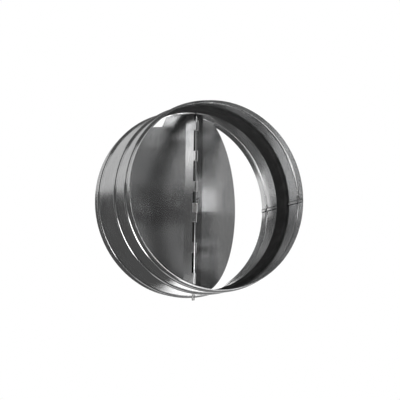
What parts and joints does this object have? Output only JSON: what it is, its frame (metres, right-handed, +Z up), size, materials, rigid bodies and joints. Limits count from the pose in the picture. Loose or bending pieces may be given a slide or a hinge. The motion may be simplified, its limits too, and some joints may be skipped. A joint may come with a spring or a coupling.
{
  "type": "duct backdraft damper",
  "caption": "Short beaded duct sleeve with spring-closed half-disc flaps on an upright hinge rod and a soft inner seal band, letting air through one way only.",
  "frame": {"origin": "centre of the inlet rim, on the duct's axis", "axes": "+Y along the duct in the direction of flow, +Z up along the hinge rod, +X to the right seen from the inlet"},
  "size_m": [0.2026, 0.1203, 0.2114],
  "materials": {
    "galvanised_sheet": "satin galvanised",
    "black_seal": "matt foam",
    "rod_steel": "bright drawn",
    "flap_sheet": "satin",
    "spring_wire": "drawn wire"
  },
  "bodies": {
    "casing": {"sleeve": "galvanised_sheet", "closing_seal": "black_seal", "hinge_rod": "rod_steel", "return_spring": "spring_wire"},
    "left_flap": {"left_flap": "flap_sheet"},
    "right_flap": {"right_flap": "flap_sheet"}
  },
  "joints": [
    {"name": "left_flap_hinge", "type": "hinge", "parent": "casing", "child": "left_flap", "pos_m": [0, 0.05936, 0], "axis": [0, 0, -1], "range_deg": [-40.6, 45.4], "stiffness_Nm_per_rad": 0.02, "springref_deg": -68.75, "deforming": ["return_spring"]},
    {"name": "right_flap_hinge", "type": "hinge", "parent": "casing", "child": "right_flap", "pos_m": [0, 0.05936, 0], "axis": [0, 0, 1], "range_deg": [-40.6, 45.4], "stiffness_Nm_per_rad": 0.02, "springref_deg": -68.75, "deforming": ["return_spring"]}
  ]
}
